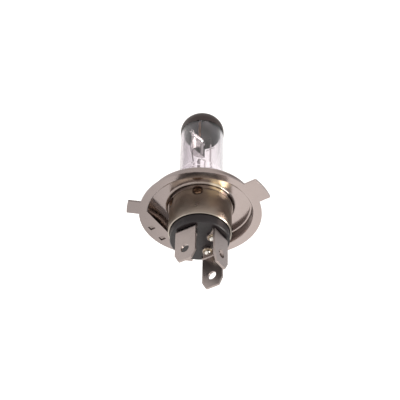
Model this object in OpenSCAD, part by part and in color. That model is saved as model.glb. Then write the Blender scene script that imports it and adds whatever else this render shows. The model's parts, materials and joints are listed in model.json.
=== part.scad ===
// Twin-filament halogen headlight bulb with a three-lug metal cap.
// Millimetres. +X runs along the bulb axis towards the glass tip, +Z points up through the
// wide lug and +Y to the left. The origin is the centre of the flange's reference plane,
// which is the front face of the lugs.

/* [Flange] */
// Diameter of the flat rim
rim_d = 43; // [41:0.5:46]
// Diameter of the pilot cup that enters the lamp
pilot_d = 38; // [37:0.25:39]
// Diameter over the tips of the lugs
lug_tip_d = 51.6; // [50:0.2:53]
// Width of the wide lug
wide_lug_w = 10; // [8:0.5:12]
// Width of each narrow lug
narrow_lug_w = 6; // [4:0.5:8]
// Angle between the wide lug and the left narrow lug
left_lug_angle = 139; // [130:1:145]
// Angle between the wide lug and the right narrow lug
right_lug_angle = 136; // [130:1:145]
// Thickness of the flange sheet
sheet_t = 0.7; // [0.5:0.1:0.8]
// Depth of the pilot cup in front of the reference plane
cup_depth = 4.5; // [4:0.25:5]
// Distance from the axis to the cup's flat side, measured inside at the rim
flat_z = 15; // [14:0.25:15.5]
// How much the flat side and the cup lean inwards per millimetre of depth
flat_draft = 0.2; // [0.1:0.05:0.25]
// Height of the collar behind the cup floor
collar_h = 2; // [1.5:0.25:3]

/* [Base] */
// Shell diameter at the collar
shell_d = 22.1; // [21.5:0.1:22.5]
// Shell diameter at its rear edge
shell_rear_d = 22; // [21.6:0.1:22.4]
// Distance from the reference plane back to the shell's rear edge
shell_rear = 9.5; // [8:0.5:11]
// Thickness of the shell sheet
shell_t = 0.45; // [0.4:0.05:0.6]
// Distance from the reference plane forward to the shell's shoulder
shoulder_x = 7; // [6:0.5:8]
// Diameter of the neck that takes the glass
neck_d = 18.6; // [18:0.1:19.4]
// Distance from the reference plane forward to the neck's lip
neck_x = 12.5; // [11:0.5:13]
// Diameter of the insulator
insulator_d = 20.6; // [20:0.1:20.6]
// Distance from the reference plane back to the insulator's rear face
insulator_rear = 12.8; // [11.5:0.1:14]

/* [Terminals] */
// Width of a blade
blade_w = 8; // [6.3:0.1:8.2]
// Thickness of a blade
blade_t = 0.8; // [0.6:0.1:0.9]
// Distance from the axis to the middle of each blade
blade_off = 8.4; // [8:0.1:8.6]
// Length of a blade behind the insulator
blade_len = 14; // [12:0.2:16]
// Diameter of the hole in a blade
blade_hole_d = 3.2; // [2:0.1:3.4]
// Distance from the insulator to the hole
blade_hole_x = 9.3; // [8:0.1:10.5]
// Distance from the axis to the rivet in each terminal foot
rivet_off = 5.2; // [4.7:0.1:5.3]

/* [Glass] */
// Diameter of the glass tube
glass_d = 16; // [15.5:0.1:16.8]
// Wall of the glass tube
glass_t = 1; // [0.8:0.1:1.2]
// Distance from the reference plane to the start of the dome
dome_x = 41; // [40:0.2:43]
// Height of the dome
dome_h = 6.5; // [6:0.25:8]
// Distance from the reference plane to the edge of the black coating
coat_x = 39.4; // [38:0.2:40]

/* [Filaments] */
// Front filament: distance from the reference plane to its rear end
low_x = 28.8; // [28:0.1:29]
// Front filament: coil length
low_len = 5.5; // [5:0.1:6]
// Rear filament: distance from the reference plane to its rear end
high_x = 22.3; // [22:0.1:23]
// Rear filament: coil length
high_len = 4.5; // [4:0.1:5]
// Rear filament: distance of the coil below the axis
high_drop = 1.1; // [0.6:0.1:1.2]
// Diameter of a coil
coil_d = 1.1; // [0.9:0.1:1.3]

/* [Hidden] */

$fn = 96;
wire_fn = 24;
// How much a wire swells at a bend
bend_swell = 1.1;
// Clearance between curved faces that fit together
fit = 0.06;
// Overshoot of a cutting solid
cut = 1;
// Floor of the cup
floor_x = cup_depth - sheet_t;
collar_d = shell_d + 2 * fit;
collar_t = 0.35;
// Bend radii of the flange sheet: inside a bend, outside a bend, and at the collar
bend_r = 0.7;
crown_r = 0.9;
collar_bend_r = 1;
stamp_w = 2;
stamp_depth = 0.4;
stamp_y = 3.3;
stamp_z = -18.4;
lug_side = 60;
// Seal of the glass: a flat block that lies in the XZ plane
seal_w = 14;
seal_t = 4.4;
seal_rear = 2.5;
seal_front = 14;
glass_r = glass_d / 2;
bore_r = glass_r - glass_t;
tube_x = 17.5;
coat_t = 0.12;
tip_r = 1.4;
tip_h = 1.1;
dome_steps = 18;
// Heights of the three leads in the seal
shield_lead_z = -3.4;
rear_lead_z = 0.5;
front_lead_z = 3.8;
// Height of the rear filament's lead beside the coil
rear_lead_rise = 1.4;
foil_t = 0.12;
foil_w = 2.4;
foil_rear = 5;
foil_front = 11;
lead_d = 0.6;
rear_lead_d = 0.45;
crossbar_d = 0.36;
outer_d = 0.9;
leg_d = 0.22;
// Front filament's lead: where it turns towards the coil
lead_bend_x = low_x + low_len + 1;
// Shield: a trough under the front filament. Its axis is above the rim.
shield_r = 4.2;
shield_t = 0.25;
shield_z = -1.7;
shield_rise = 1.8;
shield_depth = shield_r - shield_rise;
shield_rear = 31;
shield_front = 38.2;
shield_tilt = -9.4;
// Middle of the wire under the shield
keel_z = shield_z - shield_depth - lead_d / 2 + 0.02;
foot_t = blade_t;
blade_bend_r = 0.5;
foot_end_r = 1.95;
rivet_head_r = 1.75;
rivet_r = 1.2;
rivet_bore_r = 0.75;
rivet_head_t = 0.35;
// Front end of each rivet's tube, and of the insulator
insulator_front = 6;
solder_h = 0.9;

// A solid of revolution about the bulb axis from [radius, x] points
module lathe(points) {
    rotate([0, 90, 0]) rotate_extrude() polygon(points);
}

// A cylinder along the bulb axis
module disc(x0, x1, r) {
    translate([x0, 0, 0]) rotate([0, 90, 0]) cylinder(h = x1 - x0, r = r);
}

// A plate along the bulb axis from an outline in [y, z]
module plate(x0, x1) {
    translate([x0, 0, 0]) rotate([90, 0, 90]) linear_extrude(x1 - x0) children();
}

// A slab across the bulb from an outline in [x, z]
module slab(y0, y1) {
    translate([0, y1, 0]) rotate([90, 0, 0]) linear_extrude(y1 - y0) children();
}

// A straight round bar between two points
module bar(a, b, d) {
    v = b - a;
    len = norm(v);
    translate(a) rotate([0, acos(v.z / len), atan2(v.y, v.x)])
        cylinder(h = len, d = d, $fn = wire_fn);
}

// A ball at a wire's bend, with its poles off the plane of the bend and its seam outside it
module elbow(before, at, after, d) {
    u = (before - at) / norm(before - at);
    w = (after - at) / norm(after - at);
    x = -(u + w) / norm(u + w);
    z = cross(u, w) / norm(cross(u, w));
    y = cross(z, x);
    multmatrix([[x.x, y.x, z.x, at.x], [x.y, y.y, z.y, at.y], [x.z, y.z, z.z, at.z]])
        sphere(d = d, $fn = wire_fn);
}

// A bent wire through a list of points
module wire(points, d) {
    last = len(points) - 1;
    for (i = [1 : last]) bar(points[i - 1], points[i], d);
    for (i = [1 : 1 : last - 1]) elbow(points[i - 1], points[i], points[i + 1], bend_swell * d);
}

// Points of a rounded corner: centre, radius and the two end angles
function corner(c, r, a0, a1, n = 5) =
    [for (i = [0 : n]) let (a = a0 + (a1 - a0) * i / n) [c.x + r * cos(a), c.y + r * sin(a)]];

// Points of the dome from its foot to the axis
function dome(r, h, x0) =
    [for (i = [0 : dome_steps]) let (a = 90 * i / dome_steps) [r * cos(a), x0 + h * sin(a)]];

// ---- Flange ----

// The side of the flat that belongs to the cup, moved outwards by an offset
module above_flat(off) {
    slab(-rim_d, rim_d)
        polygon([[-cut - sheet_t, rim_d], [cup_depth + cut, rim_d],
                 [cup_depth + cut, -flat_z - off + flat_draft * (cup_depth + cut)],
                 [-cut - sheet_t, -flat_z - off - flat_draft * (cut - sheet_t)]]);
}

module lug(angle, w) {
    rotate([angle, 0, 0]) intersection() {
        disc(-sheet_t, 0, lug_tip_d / 2);
        translate([-sheet_t, -w / 2, rim_d / 2 - 2]) cube([sheet_t, w, lug_side]);
    }
}

// Outside of the pilot cup
module cup_body() {
    r = pilot_d / 2;
    lathe(concat([[0, -sheet_t], [r, -sheet_t]],
                 corner([r - crown_r, cup_depth - crown_r], crown_r, 0, 90),
                 [[0, cup_depth]]));
}

// Inside of the pilot cup, with the bends at the rim and at the floor
module cup_pocket() {
    r = pilot_d / 2 - sheet_t;
    lathe(concat([[0, -sheet_t - cut], [r + bend_r, -sheet_t - cut], [r + bend_r, -sheet_t]],
                 corner([r + bend_r, bend_r - sheet_t], bend_r, 270, 180),
                 corner([r - bend_r, floor_x - bend_r], bend_r, 0, 90),
                 [[0, floor_x]]));
}

module collar() {
    r = collar_d / 2;
    foot = r + collar_t + collar_bend_r;
    lathe(concat([[r, cup_depth], [r, floor_x - collar_h],
                  [r + collar_t, floor_x - collar_h]],
                 corner([foot, floor_x - collar_bend_r], collar_bend_r, 180, 90, 8),
                 [[foot, cup_depth]]));
}

module flange_ring() {
    color("#b9aca5") difference() {
        union() {
            difference() {
                union() {
                    disc(-sheet_t, 0, rim_d / 2);
                    lug(0, wide_lug_w);
                    for (angle = [-left_lug_angle, right_lug_angle]) lug(angle, narrow_lug_w);
                    intersection() {
                        cup_body();
                        above_flat(sheet_t);
                    }
                }
                intersection() {
                    cup_pocket();
                    above_flat(0);
                }
            }
            collar();
        }
        disc(-cut, cup_depth + cut, collar_d / 2);
        for (side = [-1, 1])
            translate([-sheet_t - cut, side * stamp_y - stamp_w / 2, stamp_z - stamp_w / 2])
                cube([cut + stamp_depth, stamp_w, stamp_w]);
    }
}

// ---- Base ----

module base_shell() {
    r = shell_d / 2;
    r_rear = shell_rear_d / 2;
    n = neck_d / 2;
    lip = 0.25;
    color("#8f8478") lathe(concat(
        [[r_rear - shell_t, -shell_rear], [r_rear - lip, -shell_rear], [r_rear, -shell_rear + lip],
         [r, floor_x - collar_h]],
        corner([r - crown_r, shoulder_x - crown_r], crown_r, 0, 90),
        [[n, shoulder_x], [n, neck_x], [n - shell_t, neck_x], [n - shell_t, shoulder_x - shell_t]],
        corner([r - crown_r, shoulder_x - crown_r], crown_r - shell_t, 90, 0),
        [[r - shell_t, floor_x - collar_h]]));
}

// Spring-steel holder: a plate across the neck with two tongues that grip the seal
module pinch_clamp() {
    tongue_w = 8;
    tongue_t = 0.4;
    plate_x = 8.5;
    color("#a8a6a2") {
        difference() {
            disc(plate_x, plate_x + 0.6, neck_d / 2 - shell_t);
            translate([plate_x - cut, -seal_t / 2, -seal_w / 2])
                cube([2 * cut + 0.6, seal_t, seal_w]);
        }
        for (side = [-1, 1])
            translate([plate_x - 4, side * (seal_t + tongue_t) / 2 - tongue_t / 2, -tongue_w / 2])
                cube([7, tongue_t, tongue_w]);
    }
}

module insulator() {
    r = insulator_d / 2;
    bevel = 0.35;
    color("#35333a") difference() {
        lathe([[0, -insulator_rear], [r - bevel, -insulator_rear], [r, -insulator_rear + bevel],
               [r, -insulator_front - bevel], [r - bevel, -insulator_front],
               [0, -insulator_front]]);
        for (a = [0, 90, -90]) at_rivet(a)
            disc(-insulator_rear - cut, -insulator_front + cut, rivet_r + fit);
    }
}

// ---- Terminals ----

// Turns the top position to one of the three terminal positions
module at_rivet(angle) {
    rotate([angle, 0, 0]) translate([0, 0, rivet_off]) children();
}

module blade_outline() {
    h = blade_w / 2;
    root = -insulator_rear - foot_t - blade_bend_r;
    end = -insulator_rear - blade_len;
    chamfer_x = 2.8;
    chamfer_z = 1.5;
    polygon([[root, -h], [end + chamfer_x, -h], [end, -h + chamfer_z],
             [end, h - chamfer_z], [end + chamfer_x, h], [root, h]]);
}

// The bend between a blade and its foot, seen from the side in [x, z]
module terminal_bend(z_in) {
    foot_x = -insulator_rear - foot_t;
    c = [foot_x - blade_bend_r, z_in - blade_bend_r];
    slab(-blade_w / 2, blade_w / 2)
        polygon(concat(corner(c, blade_bend_r, 90, 0), [[foot_x + 0.1, c.y]],
                       corner(c, blade_bend_r + foot_t, 0, 90), [[c.x, z_in + 0.1]]));
}

// A blade at the top position, with a foot that lies on the insulator
module terminal(angle) {
    foot_x = -insulator_rear - foot_t;
    z_in = blade_off - blade_t / 2;
    z_bend = z_in - blade_bend_r;
    foot_half = blade_w / 2 - 0.6;
    color("#a39b96") rotate([angle, 0, 0]) difference() {
        union() {
            translate([0, 0, z_in]) linear_extrude(blade_t) blade_outline();
            terminal_bend(z_in);
            plate(foot_x, -insulator_rear) union() {
                translate([0, rivet_off]) circle(r = foot_end_r);
                polygon([[-foot_end_r, rivet_off], [foot_end_r, rivet_off],
                         [foot_half, z_bend], [-foot_half, z_bend]]);
            }
        }
        translate([-insulator_rear - blade_hole_x, 0, z_in - cut])
            cylinder(h = blade_t + 2 * cut, d = blade_hole_d);
        translate([0, 0, rivet_off]) disc(foot_x - cut, -insulator_rear + cut, rivet_r + fit);
    }
}

module terminal_top() terminal(0);
module terminal_left() terminal(-90);
module terminal_right() terminal(90);

module rivet(angle) {
    back = -insulator_rear - foot_t;
    front = -insulator_front;
    color("#a08f72") at_rivet(angle)
        lathe([[rivet_bore_r, back - rivet_head_t], [rivet_head_r - 0.2, back - rivet_head_t],
               [rivet_head_r, back], [rivet_r, back], [rivet_r, front], [rivet_head_r, front],
               [rivet_head_r, front + rivet_head_t], [rivet_bore_r, front + rivet_head_t]]);
}

module rivet_top() rivet(0);
module rivet_left() rivet(-90);
module rivet_right() rivet(90);

// A drop of solder on the rivet head, around the end of the wire
module solder(angle) {
    back = -insulator_rear - foot_t - rivet_head_t;
    r = 1.15;
    color("#c9c5bd") at_rivet(angle) difference() {
        lathe(concat([[0, back]], [for (i = [0 : 8]) let (a = 90 * i / 8)
                                   [r * cos(a), back - solder_h * sin(a)]]));
        disc(back - 0.5, back + cut, outer_d / 2);
    }
}

module solder_top() solder(0);
module solder_left() solder(-90);
module solder_right() solder(90);

// ---- Glass ----

module glass_envelope() {
    seal_half = seal_t / 2;
    round_r = 3.2;
    color("#d8dde2", 0.35) difference() {
        union() {
            lathe(concat([[0, seal_front - 1.2], [3.6, seal_front - 0.4], [6.4, seal_front + 1.2],
                          [glass_r - 0.35, tube_x - 1.2], [glass_r, tube_x]],
                         dome(glass_r, dome_h, dome_x)));
            slab(-seal_half, seal_half)
                polygon([[seal_rear, -seal_w / 2], [seal_front + 1.5, -seal_w / 2],
                         [seal_front + 1.5, seal_w / 2], [seal_rear, seal_w / 2]]);
            translate([dome_x + dome_h - 0.15, 0, 0]) rotate([0, 90, 0])
                cylinder(h = tip_h, r1 = tip_r, r2 = 0.5);
        }
        lathe(concat([[0, seal_front + 1], [round_r, seal_front + 1.6],
                      [bore_r - 0.5, tube_x], [bore_r, tube_x + 1.2]],
                     dome(bore_r, dome_h - glass_t, dome_x)));
        foil_shield_lead();
        foil_rear_lead();
        foil_front_lead();
        for (z = [shield_lead_z, rear_lead_z, front_lead_z]) {
            bar([foil_front, 0, z], [tube_x, 0, z], z == rear_lead_z ? rear_lead_d : lead_d);
            bar([seal_rear - cut, 0, z], [foil_rear, 0, z], outer_d);
        }
    }
}

module black_top_coating() {
    color("#4a4441") difference() {
        union() {
            lathe(concat([[0, coat_x], [glass_r + coat_t, coat_x]],
                         dome(glass_r + coat_t, dome_h + coat_t, dome_x)));
            translate([dome_x + dome_h - 0.15, 0, 0]) rotate([0, 90, 0])
                cylinder(h = tip_h + coat_t, r1 = tip_r + coat_t, r2 = 0.5 + coat_t);
        }
        lathe(concat([[0, coat_x - cut], [glass_r, coat_x - cut]],
                     dome(glass_r, dome_h, dome_x)));
        translate([dome_x + dome_h - 0.15, 0, 0]) rotate([0, 90, 0])
            cylinder(h = tip_h, r1 = tip_r, r2 = 0.5);
    }
}

// ---- Inside the glass ----

// A close-wound coil: a sleeve whose outside follows the turns of the wire
module coil(x0, length, z) {
    turn_r = 0.14;
    turns = round(length / 0.4);
    pitch = length / turns;
    r = coil_d / 2 - turn_r;
    outside = [for (i = [0 : turns - 1]) for (a = [30 : 60 : 150])
                   [r + turn_r * sin(a), x0 + pitch * (i + 0.5) - pitch / 2 * cos(a)]];
    translate([0, 0, z])
        lathe(concat([[r - turn_r, x0]], outside, [[r - turn_r, x0 + length]]));
}

module front_filament() {
    end = low_x + low_len;
    r = coil_d / 2;
    lead_side = lead_bend_x - lead_d / 2;
    color("#77726e") {
        coil(low_x, low_len, 0);
        wire([[low_x + 0.3, 0, -r + 0.16], [low_x + 0.1, 0, -1.1],
              [shield_rear + 0.1, 0, shield_z]], leg_d);
        wire([[end - 0.2, 0, r - 0.14], [end - 0.1, 0, 1.1], [lead_side + 0.05, 0, 1.3]], leg_d);
    }
}

module rear_filament() {
    end = high_x + high_len;
    r = coil_d / 2;
    z = -high_drop;
    lead_under = rear_lead_rise - rear_lead_d / 2;
    color("#77726e") {
        coil(high_x, high_len, z);
        wire([[high_x + 0.2, 0, z - r + 0.14], [high_x + 0.1, 0, z - 1.1],
              [high_x + 0.3, 0, shield_lead_z + lead_d / 2 - 0.03]], leg_d);
        wire([[end - 0.3, 0, z + r - 0.16], [end - 0.1, 0, z + 1.1],
              [high_x + 2.7, 0, lead_under + 0.03]], leg_d);
    }
}

// Solid trough: the part of a cylinder that is below a height over the rim
module shield_body(x0, x1, r, top) {
    intersection() {
        translate([0, 0, shield_rise]) disc(x0, x1, r);
        translate([x0 - cut, -r - cut, -shield_depth - cut])
            cube([x1 - x0 + 2 * cut, 2 * (r + cut), shield_depth + cut + top]);
    }
}

// Trough under the front filament, with a grooved lip in front of its front wall
module beam_shield() {
    lip_x = shield_front + 1.5;
    lip_half = 3.3;
    groove_z = -0.5;
    color("#d9d6d3") translate([0, 0, shield_z]) rotate([shield_tilt, 0, 0]) {
        difference() {
            shield_body(shield_rear, shield_front, shield_r, 0);
            shield_body(shield_rear + shield_t, shield_front - shield_t, shield_r - shield_t, cut);
        }
        slab(-lip_half, lip_half)
            polygon([[shield_front - 0.1, groove_z - shield_t], [lip_x, groove_z - shield_t],
                     [lip_x, 0.1], [lip_x - shield_t, 0.1], [lip_x - shield_t, groove_z],
                     [shield_front - 0.1, groove_z]]);
    }
}

module shield_support_wire() {
    color("#8c8480")
        wire([[foil_front, 0, shield_lead_z], [high_x + 1.5, 0, shield_lead_z],
              [high_x + 3, 0, -3.05], [high_x + 6, 0, -3.95], [shield_rear + 0.4, 0, keel_z],
              [shield_front - 2, 0, keel_z]], lead_d);
}

module front_filament_lead() {
    color("#8c8480")
        wire([[foil_front, 0, front_lead_z], [lead_bend_x, 0, front_lead_z],
              [lead_bend_x, 0, 0.9]], lead_d);
}

module front_lead_crossbar() {
    y = (lead_d + crossbar_d) / 2;
    color("#8c8480")
        wire([[low_x + 0.3, y, front_lead_z - 1.7], [low_x + 0.3, y, front_lead_z + 2]],
             crossbar_d);
}

module rear_filament_lead() {
    color("#8c8480")
        wire([[foil_front, 0, rear_lead_z], [tube_x + 0.7, 0, rear_lead_z],
              [high_x - 1, 0, rear_lead_rise], [high_x + 3, 0, rear_lead_rise]], rear_lead_d);
}

module foil(z) {
    color("#9a9590")
        translate([foil_rear, -foil_t / 2, z - foil_w / 2])
            cube([foil_front - foil_rear, foil_t, foil_w]);
}

module foil_shield_lead() foil(shield_lead_z);
module foil_rear_lead() foil(rear_lead_z);
module foil_front_lead() foil(front_lead_z);

// ---- Wires between the seal and the terminals ----

module outer_wire(z, y_end, z_end) {
    rear = -insulator_rear - foot_t - rivet_head_t - 0.5;
    color("#a69e96")
        wire([[foil_rear, 0, z], [seal_rear - 1, 0, z], [-insulator_front + 2, y_end, z_end],
              [rear, y_end, z_end]], outer_d);
}

module outer_wire_shield() outer_wire(shield_lead_z, -rivet_off, 0);
module outer_wire_rear() outer_wire(rear_lead_z, rivet_off, 0);
module outer_wire_front() outer_wire(front_lead_z, 0, rivet_off);

flange_ring();
base_shell();
pinch_clamp();
glass_envelope();
black_top_coating();
front_filament();
rear_filament();
beam_shield();
shield_support_wire();
front_filament_lead();
front_lead_crossbar();
rear_filament_lead();
foil_shield_lead();
foil_rear_lead();
foil_front_lead();
outer_wire_shield();
outer_wire_rear();
outer_wire_front();
insulator();
terminal_top();
terminal_left();
terminal_right();
rivet_top();
rivet_left();
rivet_right();
solder_top();
solder_left();
solder_right();
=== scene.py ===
"""Looks of a twin-filament headlight bulb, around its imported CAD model. Lengths are in metres."""

import json
import math

import bpy
from mathutils import Matrix, Vector


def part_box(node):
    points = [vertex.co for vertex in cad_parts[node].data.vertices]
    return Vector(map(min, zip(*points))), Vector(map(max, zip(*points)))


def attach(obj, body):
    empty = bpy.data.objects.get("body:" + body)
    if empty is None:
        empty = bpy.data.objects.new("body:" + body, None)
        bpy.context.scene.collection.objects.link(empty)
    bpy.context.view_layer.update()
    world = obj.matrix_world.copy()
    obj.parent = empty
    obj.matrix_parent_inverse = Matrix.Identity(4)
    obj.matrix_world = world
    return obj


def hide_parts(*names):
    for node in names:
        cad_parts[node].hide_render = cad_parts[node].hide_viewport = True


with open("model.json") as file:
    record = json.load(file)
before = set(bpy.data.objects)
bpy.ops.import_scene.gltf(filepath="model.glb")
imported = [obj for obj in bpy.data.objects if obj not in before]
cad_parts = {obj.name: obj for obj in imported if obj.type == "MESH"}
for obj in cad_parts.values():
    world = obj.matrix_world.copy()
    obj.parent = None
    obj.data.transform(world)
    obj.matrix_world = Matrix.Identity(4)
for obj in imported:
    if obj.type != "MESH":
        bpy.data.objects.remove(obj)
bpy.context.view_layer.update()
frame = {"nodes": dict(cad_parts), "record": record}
nodes = frame["nodes"]

MM = 0.001


# ---- Camera: from behind, above and to the left, rolled so that the glass points up ----

TILT = math.radians(47.26)          # between the disc of the flange and the line of sight
LUG_TURN = math.radians(33.69)      # of the wide lug, from the camera's right
ROLL = math.radians(-1.37)
DISTANCE = 350 * MM
AIM = (0.11 * MM, -5.15 * MM)       # of the flange's centre in the view, right and up
FLANGE_REAR = -0.61 * MM
SENSOR = 36.0
LENS = 90.1

# The camera's right and up, laid into the disc of the flange
ACROSS = (0, -math.sin(LUG_TURN), math.cos(LUG_TURN))
RISE = (0, math.cos(LUG_TURN), math.sin(LUG_TURN))


def add_camera():
    across = Vector(ACROSS)
    rise = Vector(RISE)
    ahead = Vector((1, 0, 0))
    up = rise * math.cos(TILT) + ahead * math.sin(TILT)
    away = ahead * math.cos(TILT) - rise * math.sin(TILT)
    right = across * math.cos(ROLL) - up * math.sin(ROLL)
    up = across * math.sin(ROLL) + up * math.cos(ROLL)
    place = ahead * FLANGE_REAR - right * AIM[0] - up * AIM[1] - away * DISTANCE

    data = bpy.data.cameras.new("camera")
    data.sensor_width = SENSOR
    data.lens = LENS
    data.clip_start = 0.01
    data.clip_end = 50
    camera = bpy.data.objects.new("camera", data)
    turn = Matrix((right, up, -away)).transposed().to_4x4()
    camera.matrix_world = Matrix.Translation(place) @ turn
    bpy.context.scene.collection.objects.link(camera)
    bpy.context.scene.camera = camera


# ---- Node helpers ----

class Nodes:
    """Short calls that add nodes to a tree."""

    def __init__(self, tree, place):
        self.tree = tree
        self.place = self.add("ShaderNodeTexCoord").outputs[place]

    def add(self, kind, **settings):
        node = self.tree.nodes.new(kind)
        for key, value in settings.items():
            setattr(node, key, value)
        return node

    def link(self, source, target):
        self.tree.links.new(source, target)

    def in_mm(self, stretch=(1, 1, 1)):
        """The place in millimetres, stretched along each axis."""
        mapping = self.add("ShaderNodeMapping")
        mapping.inputs["Scale"].default_value = [s / MM for s in stretch]
        self.link(self.place, mapping.inputs["Vector"])
        return mapping.outputs["Vector"]

    def noise(self, scale, detail=3.0, rough=0.5, stretch=(1, 1, 1), warp=0.0):
        """Noise with about this many lumps a millimetre."""
        node = self.add("ShaderNodeTexNoise")
        node.inputs["Scale"].default_value = scale
        node.inputs["Detail"].default_value = detail
        node.inputs["Roughness"].default_value = rough
        node.inputs["Distortion"].default_value = warp
        self.link(self.in_mm(stretch), node.inputs["Vector"])
        return node.outputs["Fac"]

    def specks(self, scale, size):
        """1 in small dots, about scale of them a millimetre, each with this part of a cell's width."""
        node = self.add("ShaderNodeTexVoronoi")
        node.inputs["Scale"].default_value = scale
        self.link(self.in_mm(), node.inputs["Vector"])
        return self.span(node.outputs["Distance"], size * 0.5, size, 1.0, 0.0, smooth=True)

    def ramp(self, source, *stops):
        """A colour ramp. Each stop is (position, colour)."""
        node = self.add("ShaderNodeValToRGB")
        marks = node.color_ramp.elements
        while len(marks) < len(stops):
            marks.new(0.5)
        for mark, (position, colour) in zip(marks, stops):
            mark.position = position
            mark.color = (*colour, 1)
        self.link(source, node.inputs["Fac"])
        return node.outputs["Color"]

    def span(self, source, low, high, out_low=0.0, out_high=1.0, smooth=False):
        """Source from low to high, as a factor from out_low to out_high."""
        node = self.add("ShaderNodeMapRange")
        node.interpolation_type = "SMOOTHSTEP" if smooth else "LINEAR"
        for name, value in (("From Min", low), ("From Max", high),
                            ("To Min", out_low), ("To Max", out_high)):
            node.inputs[name].default_value = value
        self.link(source, node.inputs["Value"])
        return node.outputs["Result"]

    def span_mm(self, source, low, high, out_low=0.0, out_high=1.0, smooth=False):
        """The same for a length, with low and high in millimetres."""
        return self.span(source, low * MM, high * MM, out_low, out_high, smooth)

    def maths(self, operation, a, b=None):
        node = self.add("ShaderNodeMath", operation=operation)
        for i, value in enumerate((a, b)):
            if value is None:
                continue
            if isinstance(value, (int, float)):
                node.inputs[i].default_value = value
            else:
                self.link(value, node.inputs[i])
        return node.outputs[0]

    def times(self, *factors):
        product = factors[0]
        for factor in factors[1:]:
            product = self.maths("MULTIPLY", product, factor)
        return product

    def vector(self, operation, a, b):
        """A vector operation on two vectors, each a tuple or an output. Gives its number or vector."""
        node = self.add("ShaderNodeVectorMath", operation=operation)
        for socket, value in zip(node.inputs, (a, b)):
            if isinstance(value, tuple):
                socket.default_value = value
            else:
                self.link(value, socket)
        return node.outputs["Value" if operation in ("DOT_PRODUCT", "DISTANCE") else "Vector"]

    def along(self, direction):
        """How far the place lies along a direction."""
        return self.vector("DOT_PRODUCT", self.place, direction)

    def mix(self, factor, a, b, blend="MIX"):
        """Mix of two colours, each a colour or an output."""
        node = self.add("ShaderNodeMix", data_type="RGBA", blend_type=blend)
        for name, value in (("Factor", factor), ("A", a), ("B", b)):
            socket = [s for s in node.inputs if s.name == name and s.enabled][0]
            if isinstance(value, tuple):
                socket.default_value = (*value, 1)
            elif isinstance(value, (int, float)):
                socket.default_value = value
            else:
                self.link(value, socket)
        return [s for s in node.outputs if s.enabled][0]


class Material(Nodes):
    """A node material with a Principled shader."""

    def __init__(self, name, colour, rough, metal=0.0):
        self.name = name
        self.material = bpy.data.materials.new(name)
        self.material.use_nodes = True
        super().__init__(self.material.node_tree, "Object")
        self.shader = self.tree.nodes["Principled BSDF"]
        self.set("Base Color", (*colour, 1))
        self.set("Roughness", rough)
        self.set("Metallic", metal)

    def set(self, socket, value):
        self.shader.inputs[socket].default_value = value
        return self

    def feed(self, source, socket):
        self.link(source, self.shader.inputs[socket])
        return self

    def colour(self):
        """What feeds the base colour so far."""
        socket = self.shader.inputs["Base Color"]
        return socket.links[0].from_socket if socket.links else tuple(socket.default_value)[:3]

    def paint(self, factor, colour, blend="MIX"):
        """Lays a colour over the base colour."""
        return self.feed(self.mix(factor, self.colour(), colour, blend), "Base Color")

    def axis(self, name):
        node = self.add("ShaderNodeSeparateXYZ")
        self.link(self.place, node.inputs[0])
        return node.outputs[name]

    def radius(self):
        """Distance from the bulb's axis."""
        y, z = self.axis("Y"), self.axis("Z")
        return self.maths("SQRT", self.maths("ADD", self.times(y, y), self.times(z, z)))

    def spot(self, centre, inner, outer):
        """1 within inner of a point, falling to 0 at outer. All in millimetres."""
        distance = self.vector("DISTANCE", self.place, tuple(c * MM for c in centre))
        return self.span_mm(distance, inner, outer, 1.0, 0.0, smooth=True)

    def normal(self):
        return self.add("ShaderNodeNewGeometry").outputs["Normal"]

    def outwards(self, centre):
        """Above 0 on a face that looks away from a point in millimetres, and below 0 inside."""
        arm = self.vector("SUBTRACT", self.place, tuple(c * MM for c in centre))
        return self.vector("DOT_PRODUCT", self.normal(), arm)

    def bevel(self, width):
        """The normal, rounded over sharp edges by a width in millimetres."""
        node = self.add("ShaderNodeBevel", samples=6)
        node.inputs["Radius"].default_value = width * MM
        return node.outputs["Normal"]

    def edges(self, width):
        """1 near a sharp edge and 0 on a face."""
        dot = self.vector("DOT_PRODUCT", self.bevel(width), self.normal())
        return self.span(dot, 0.97, 0.75, 0.0, 1.0, smooth=True)

    def bump(self, height, depth):
        """Bump with a depth in millimetres, on top of any normal so far."""
        node = self.add("ShaderNodeBump")
        node.inputs["Distance"].default_value = depth * MM
        if self.shader.inputs["Normal"].is_linked:
            self.link(self.shader.inputs["Normal"].links[0].from_socket, node.inputs["Normal"])
        self.link(height, node.inputs["Height"])
        return self.feed(node.outputs["Normal"], "Normal")


# ---- Materials ----
#
# Some colours below stand in for light and reflections that this studio doesn't give, and
# their comments say so. They stay on the surface in every view.

# Places and sizes on the bulb, in millimetres
EDGE_WEAR = 0.06
RIM_R = 22
CUP_FLOOR_X = 3.8
CUP_WALL_R = 14
FLAT_Z = -12.5
COLLAR_R = 12.4
STAMP_TOP_Z = -16.6
STAMP_X = -0.62
# Centre of the painted straw-coloured reflection on the floor of the cup
STRAW_REFLECTION = (CUP_FLOOR_X, 6.4, 12.4)
SHELL_REAR_X = -9.3
GLASS_R = 8
DOME_CENTRE = (38, 0, 0)
STREAK_SIDE = -1.04
SHIELD_CENTRE = (34.5, 0, -1.7)
SHIELD_FRONT_X = 37.6
SHADE_X = 32.3

# Spot welds on the collar: angle from the top towards the left, and place along the axis
WELDS = ((62.3, 0.7), (125.4, 1.2))
WELD_R = 11.1


def weld_place(angle, x, r=WELD_R):
    """A point by its angle, in millimetres."""
    turn = math.radians(angle)
    return Vector((x, r * math.sin(turn), r * math.cos(turn)))


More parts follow.
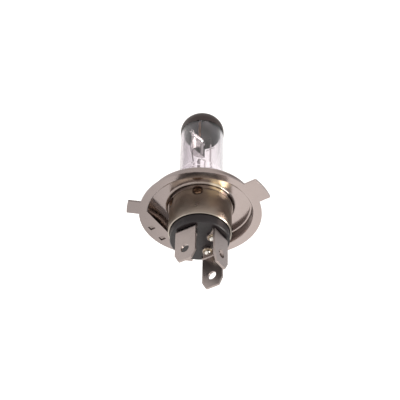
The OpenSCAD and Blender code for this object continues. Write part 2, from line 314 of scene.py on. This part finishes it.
def smooth_metal(name, colour, dark, rough, mottle=0.3):
    """Metal with soft stains and fine specks in its colour."""
    m = Material(name, colour, rough, metal=1.0)
    m.paint(m.span(m.noise(0.35, 4, 0.6), 0.38, 0.68, mottle, 0.0), dark)
    m.paint(m.span(m.noise(9.0, 3, 0.6), 0.35, 0.65, 0.0, mottle * 0.6), dark)
    return m.feed(m.span(m.noise(0.3, 2, 0.5), 0.3, 0.7, rough * 0.9, rough * 1.12), "Roughness")


def sheet_metal(name, colour, dark, rough, mottle=0.3, rounding=0.06, grain=1.0):
    """Pressed metal: the same with worn, rounded edges, low dents, grain and scratches."""
    m = smooth_metal(name, colour, dark, rough, mottle)
    bright = tuple(min(1.0, c * 1.2) for c in colour)
    m.paint(m.times(m.edges(EDGE_WEAR), 0.5), bright)
    m.feed(m.bevel(rounding), "Normal")
    m.bump(m.noise(0.5, 2, 0.5), 0.004 * grain)
    m.bump(m.noise(9.0, 3, 0.6), 0.0002 * grain)
    scratches = m.noise(3.0, 1, 0.4, stretch=(0.15, 4, 4), warp=0.4)
    return m.bump(m.span(scratches, 0.50, 0.85, smooth=True), 0.0003 * grain)


def burn(m):
    """Dark brown rings around the spot welds, taken for heat tint."""
    for angle, x in WELDS:
        ring = m.spot(weld_place(angle, x), 1.55, 2.2)
        m.paint(m.times(ring, 0.92), (0.055, 0.030, 0.020))


def make_flange_steel():
    m = sheet_metal("flange_steel", (0.345, 0.294, 0.282), (0.285, 0.24, 0.225), 0.15,
                    mottle=0.2, grain=0.12)
    x = m.axis("X")
    z = m.axis("Z")
    radius = m.radius()
    side = m.along(ACROSS)
    rise = m.along(RISE)
    # Stands in for uneven light: darker from right to left
    shade = m.ramp(m.span_mm(side, -RIM_R, RIM_R), (0.0, (0.60, 0.61, 0.62)), (0.7, (1.0, 1.0, 1.0)))
    m.paint(1.0, shade, "MULTIPLY")
    # Stands in for reflections in the cup's wall: brown on its right, lighter on its flat side
    wall = m.times(m.span_mm(x, 0.1, 0.5), m.span_mm(x, CUP_FLOOR_X - 0.1, CUP_FLOOR_X - 0.5),
                   m.span_mm(radius, CUP_WALL_R, CUP_WALL_R + 1))
    m.paint(m.times(wall, m.span_mm(side, 2, 13, smooth=True)), (0.36, 0.33, 0.31), "MULTIPLY")
    m.paint(m.times(wall, m.span_mm(z, FLAT_Z, FLAT_Z - 1)), (0.62, 0.53, 0.48))
    # Stands in for a bright reflection on the floor of the cup, above the shell
    glow = m.times(m.span_mm(rise, 10, 13, smooth=True), m.span_mm(rise, 17.4, 16, smooth=True),
                   m.span_mm(m.maths("ABSOLUTE", side), 10, 5, smooth=True), 0.7)
    m.paint(glow, (0.60, 0.525, 0.49))
    # Stands in for a dark reflection in the collar
    m.paint(m.span_mm(radius, COLLAR_R, COLLAR_R - 0.6, 0.0, 0.5), (0.13, 0.10, 0.08))
    # Darker in the two stampings
    stamps = m.times(m.span_mm(z, STAMP_TOP_Z, STAMP_TOP_Z - 0.4),
                     m.span_mm(x, STAMP_X, STAMP_X + 0.12))
    blotches = m.span(m.noise(1.2, 3), 0.35, 0.6, 0.35, 0.8)
    m.paint(m.times(stamps, blotches), (0.15, 0.125, 0.115))
    # Painted reflection: a straw-coloured patch of warm light on the floor of the cup
    m.paint(m.times(m.spot(STRAW_REFLECTION, 2.2, 4.6), 0.9), (0.92, 0.80, 0.62))
    burn(m)
    return m


def make_shell_steel():
    m = smooth_metal("shell_steel", (0.60, 0.525, 0.455), (0.50, 0.435, 0.37), 0.30, mottle=0.25)
    m.bump(m.noise(0.7, 3, 0.5, stretch=(0.3, 1, 1)), 0.001)
    x = m.axis("X")
    # Stands in for uneven light: darker towards the rear, at the rear edge and at the collar
    m.paint(m.span_mm(x, -3.5, -7.5, 0.0, 0.55, smooth=True), (0.36, 0.315, 0.27))
    m.paint(m.span_mm(x, SHELL_REAR_X + 0.4, SHELL_REAR_X, 0.0, 0.75), (0.27, 0.24, 0.21))
    m.paint(m.span_mm(x, -2.0, 1.5, 0.0, 0.4, smooth=True), (0.26, 0.215, 0.16))
    burn(m)
    return m


def make_terminal_metal():
    m = sheet_metal("terminal_metal", (0.31, 0.265, 0.252), (0.25, 0.215, 0.205), 0.30,
                    mottle=0.15, grain=0.5)
    dots = m.times(m.specks(0.9, 0.16), m.span(m.noise(0.3, 1), 0.5, 0.6), 0.6)
    return m.paint(dots, (0.10, 0.08, 0.075))


def make_quartz():
    """Clear glass with a faint lilac tint.

    The deeper tint on the left and along the edges stands in for reflections."""
    m = Material("clear_quartz", (0.86, 0.83, 0.845), 0.0)
    m.set("Transmission Weight", 1.0).set("IOR", 1.46)
    side = m.along(ACROSS)
    m.feed(m.ramp(m.span_mm(side, -GLASS_R, GLASS_R),
                  (0.0, (0.42, 0.38, 0.41)),
                  (0.12, (0.60, 0.56, 0.595)),
                  (0.45, (0.875, 0.835, 0.865)),
                  (1.0, (0.88, 0.85, 0.87))), "Base Color")
    weight = m.add("ShaderNodeLayerWeight")
    weight.inputs["Blend"].default_value = 0.35
    edge = m.times(m.span(weight.outputs["Facing"], 0.45, 0.95, 0.0, 0.85),
                   m.span_mm(side, -6, GLASS_R, 1.0, 0.5))
    m.paint(edge, (0.40, 0.37, 0.40))
    m.feed(m.span(m.noise(0.6, 3), 0.4, 0.8, 0.0, 0.03), "Roughness")
    return m.bump(m.noise(0.25, 2, stretch=(0.2, 1, 1)), 0.02)


def make_coating():
    m = Material("black_coating", (0.033, 0.0225, 0.0215), 0.42)
    m.set("Specular IOR Level", 0.15)
    m.paint(m.span(m.noise(0.5, 4, 0.6), 0.4, 0.7, 0.0, 0.5), (0.042, 0.032, 0.030))
    # Stands in for uneven light: the inside is greyer, and lighter on the left
    inside = m.span_mm(m.outwards(DOME_CENTRE), 0.0, -2)
    side = m.along(ACROSS)
    rise = m.along(RISE)
    m.paint(inside, m.ramp(m.span_mm(side, -7, 7),
                           (0.30, (0.115, 0.10, 0.102)),
                           (0.42, (0.065, 0.057, 0.058)),
                           (0.5, (0.030, 0.028, 0.027)),
                           (0.8, (0.028, 0.029, 0.028))))
    # Painted light: a brown streak over the dome's inside, for light showing through the coating
    off = m.maths("ABSOLUTE", m.maths("SUBTRACT", side, STREAK_SIDE * MM))
    streak = m.times(m.span_mm(off, 0.35, 0.65, 0.95, 0.0, smooth=True),
                     m.span_mm(rise, -7, -5.5), m.span_mm(rise, 0.0, -0.8), inside)
    m.paint(streak, (0.85, 0.35, 0.11))
    m.feed(m.span(m.noise(2.0, 4), 0.3, 0.7, 0.34, 0.5), "Roughness")
    return m.bump(m.noise(3.0, 4, 0.6), 0.01)


def make_insulator():
    m = Material("dark_insulator", (0.010, 0.007, 0.0085), 0.36)
    m.set("Specular IOR Level", 0.38)
    m.paint(m.span(m.noise(0.8, 5, 0.6), 0.45, 0.75, 0.0, 0.5), (0.020, 0.017, 0.017))
    m.paint(m.times(m.edges(0.15), 0.4), (0.08, 0.075, 0.08))
    m.feed(m.span(m.noise(2.0, 4), 0.3, 0.7, 0.30, 0.5), "Roughness")
    m.feed(m.bevel(0.2), "Normal")
    return m.bump(m.noise(6.0, 4, 0.6), 0.008)


def make_shield_metal():
    """Bright metal, dull outside.

    The pale, rougher front wall and the dark right of the inside stand in for reflections."""
    rough = 0.22
    m = sheet_metal("bright_molybdenum", (0.80, 0.78, 0.775), (0.60, 0.58, 0.575), rough,
                    rounding=0.05, grain=0.3)
    x = m.axis("X")
    outwards = m.outwards(SHIELD_CENTRE)
    inside = m.span_mm(outwards, 0.5, 0.0)
    m.paint(m.span_mm(outwards, 0.0, 1), (0.46, 0.44, 0.45))
    front = m.times(m.span_mm(x, SHIELD_FRONT_X - 0.7, SHIELD_FRONT_X), inside)
    m.feed(m.span(front, 0.0, 1.0, rough, 0.34), "Roughness")
    m.paint(front, (0.99, 0.98, 0.98))
    right = m.times(m.span_mm(m.axis("Y"), -1.2, -2.2), inside)
    shade = m.times(right, m.span_mm(x, 36.5, 35), 0.7)
    return m.paint(shade, (0.22, 0.21, 0.21))


def make_wire():
    m = sheet_metal("molybdenum_wire", (0.76, 0.72, 0.73), (0.60, 0.57, 0.57), 0.40, rounding=0.1)
    # Stands in for the shade inside the coated end
    return m.paint(m.span_mm(m.axis("X"), SHADE_X - 1, SHADE_X), (0.045, 0.042, 0.042))


def make_weld():
    m = Material("weld_spot", (0.10, 0.055, 0.035), 0.32, metal=1.0)
    m.paint(m.span(m.noise(1.5, 4, 0.7), 0.4, 0.65), (0.23, 0.15, 0.10))
    return m.bump(m.noise(4.0, 4, 0.6), 0.02)


# Metals that need no more than sheet_metal: name, colour, roughness and edge rounding
PLAIN_METALS = (
    ("spring_steel", (0.45, 0.43, 0.41), 0.25, 0.1),
    ("rivet_brass", (0.40, 0.33, 0.25), 0.26, 0.1),
    ("tungsten", (0.55, 0.52, 0.53), 0.45, 0.1),
    ("molybdenum_foil", (0.50, 0.47, 0.45), 0.30, 0.05),
    ("nickel_wire", (0.45, 0.42, 0.39), 0.25, 0.1),
    ("solder", (0.62, 0.60, 0.57), 0.14, 0.1),
)


def make_materials():
    made = [make_flange_steel(), make_shell_steel(), make_terminal_metal(), make_quartz(),
            make_coating(), make_insulator(), make_weld(), make_shield_metal(), make_wire()]
    for name, colour, rough, rounding in PLAIN_METALS:
        dark = tuple(c * 0.7 for c in colour)
        made.append(sheet_metal(name, colour, dark, rough, rounding=rounding))
    return {m.name: m for m in made}


def dress(materials):
    for part in frame["record"]["subparts"]:
        obj = nodes[part["node"]]
        obj.data.materials.clear()
        obj.data.materials.append(materials[part["material_slot"]].material)
        for polygon in obj.data.polygons:
            polygon.use_smooth = True


# ---- Pieces that only show ----

def add_mesh(name, points, faces, material):
    mesh = bpy.data.meshes.new(name)
    mesh.from_pydata(points, [], faces)
    mesh.materials.append(material.material)
    for polygon in mesh.polygons:
        polygon.use_smooth = True
    obj = bpy.data.objects.new(name, mesh)
    bpy.context.scene.collection.objects.link(obj)
    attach(obj, "root")
    return obj


def turned(profile, count, wobble):
    """A closed form turned about Z, from (radius, height) points that start and end on the axis.

    wobble(ring, turn) gives a factor on a point's radius and a change of its height."""
    rings = profile[1:-1]
    points = [(0, 0, profile[0][1])]
    for i, (r, h) in enumerate(rings):
        for k in range(count):
            turn = math.tau * k / count
            swell, lift = wobble(i, turn)
            points.append((r * swell * math.cos(turn), r * swell * math.sin(turn), h + lift))
    points.append((0, 0, profile[-1][1]))
    last = len(points) - 1
    faces = []
    for k in range(count):
        after = (k + 1) % count
        faces.append((0, 1 + after, 1 + k))
        for i in range(len(rings) - 1):
            a, b = 1 + i * count, 1 + (i + 1) * count
            faces.append((a + k, a + after, b + after, b + k))
        faces.append((last - count + k, last - count + after, last))
    return points, faces


# Profiles as (radius, height), in millimetres
WELD_PROFILE = ((0, -0.30), (1.30, -0.30), (1.35, -0.06), (1.15, 0.05), (0.95, 0.19), (0.78, 0.21),
                (0.60, 0.12), (0.35, 0.03), (0, 0.01))
SOLDER_PROFILE = ((0, 0), (1.12, 0), (1.16, 0.22), (1.0, 0.48), (0.78, 0.68), (0.52, 0.72),
                  (0.3, 0.80), (0, 0.82))
WELD_SIDES = 40
SOLDER_SIDES = 36


def add_welds(materials):
    """Craters of the spot welds, half on the collar and half on the shell."""
    for i, (angle, x) in enumerate(WELDS):
        phase = 2.1 * i

        def wobble(ring, turn, phase=phase):
            rough = math.sin(3 * turn + phase) + 0.6 * math.sin(5 * turn + 2 * phase + ring)
            return 1 + 0.035 * rough, 0.012 * math.sin(4 * turn + phase)

        points, faces = turned(WELD_PROFILE, WELD_SIDES, wobble)
        place = weld_place(angle, x)
        away = weld_place(angle, 0, 1)
        along = Vector((1, 0, 0))
        beside = away.cross(along)
        points = [(place + beside * p[0] + along * p[1] + away * p[2]) * MM for p in points]
        add_mesh(f"weld_spot_{i + 1}", points, faces, materials["weld_spot"])


def add_solder(materials):
    """Lumpy drops of solder in place of the plain ones."""
    for i, name in enumerate(("solder_top", "solder_left", "solder_right")):
        low, high = (Vector(corner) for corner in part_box(name))
        centre = (low + high) / 2
        phase = 1.7 * i + 0.6

        def wobble(ring, turn, phase=phase):
            swell = 0.07 * math.sin(3 * turn + phase) + 0.05 * math.sin(7 * turn + 3 * ring + phase)
            lift = 0.09 * math.sin(2 * turn + 1.3 * ring + phase) + 0.05 * math.sin(5 * turn + phase)
            return 1 + swell * min(1, ring / 2), lift * (0.3 if ring > 1 else 0.1 * ring)

        points, faces = turned(SOLDER_PROFILE, SOLDER_SIDES, wobble)
        points = [Vector((high.x - p[2] * MM, centre.y + p[0] * MM, centre.z - p[1] * MM))
                  for p in points]
        faces = [face[::-1] for face in faces]
        obj = add_mesh(name + "_drop", points, faces, materials["solder"])
        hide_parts(name)


# ---- Stage ----

FLOOR_Z = -200 * MM
FLOOR_SIZE = 16

# Studio around the bulb: brightness of the walls, and soft zones in them as
# (direction, inner angle, outer angle, brightness, colour)
WALLS = 0.62
ZONES = (
    ((-0.68, 0.61, 0.41), 22, 62, 1.05, (1.0, 0.96, 0.92)),
    ((0.68, 0.61, 0.41), 20, 60, 1.12, (1.0, 0.96, 0.93)),
    ((0.68, -0.61, 0.41), 15, 50, 0.95, (1.0, 0.99, 0.99)),
)


def add_floor():
    bpy.ops.mesh.primitive_plane_add(size=FLOOR_SIZE, location=(0, 0, FLOOR_Z))
    floor = bpy.context.object
    floor.name = "floor"
    m = Material("floor", (0.93, 0.93, 0.93), 0.9)
    m.set("Emission Color", (1, 1, 1, 1)).set("Emission Strength", 0.26)
    m.bump(m.noise(0.02, 2), 0.05)
    floor.data.materials.append(m.material)


def add_light(name, place, size, power, colour=(1, 1, 1)):
    data = bpy.data.lights.new(name, "AREA")
    data.shape = "DISK"
    data.size = size
    data.energy = power
    data.color = colour
    light = bpy.data.objects.new(name, data)
    light.location = place
    light.rotation_euler = Vector(place).to_track_quat("Z", "Y").to_euler()
    bpy.context.scene.collection.objects.link(light)


def add_studio():
    world = bpy.data.worlds.new("studio")
    bpy.context.scene.world = world
    world.use_nodes = True
    n = Nodes(world.node_tree, "Generated")
    colour = (WALLS, WALLS, WALLS)
    for direction, inner, outer, level, tone in ZONES:
        edge, core = (math.cos(math.radians(angle)) for angle in (outer, inner))
        inside = n.span(n.along(direction), edge, core, smooth=True)
        colour = n.mix(inside, colour, tuple(level * c for c in tone))
    seen = n.add("ShaderNodeLightPath").outputs["Is Camera Ray"]
    background = n.tree.nodes["Background"]
    n.link(n.mix(seen, colour, (1.0, 1.0, 1.0)), background.inputs["Color"])
    add_light("key", place=(-0.42, -0.34, 0.60), size=0.34, power=4.5, colour=(1.0, 0.95, 0.87))
    add_light("top", place=(0.1, 0.2, 1.1), size=0.9, power=2.5)
    bpy.context.scene.view_settings.view_transform = "Standard"


made = make_materials()
add_camera()
dress(made)
add_welds(made)
add_solder(made)
add_floor()
add_studio()
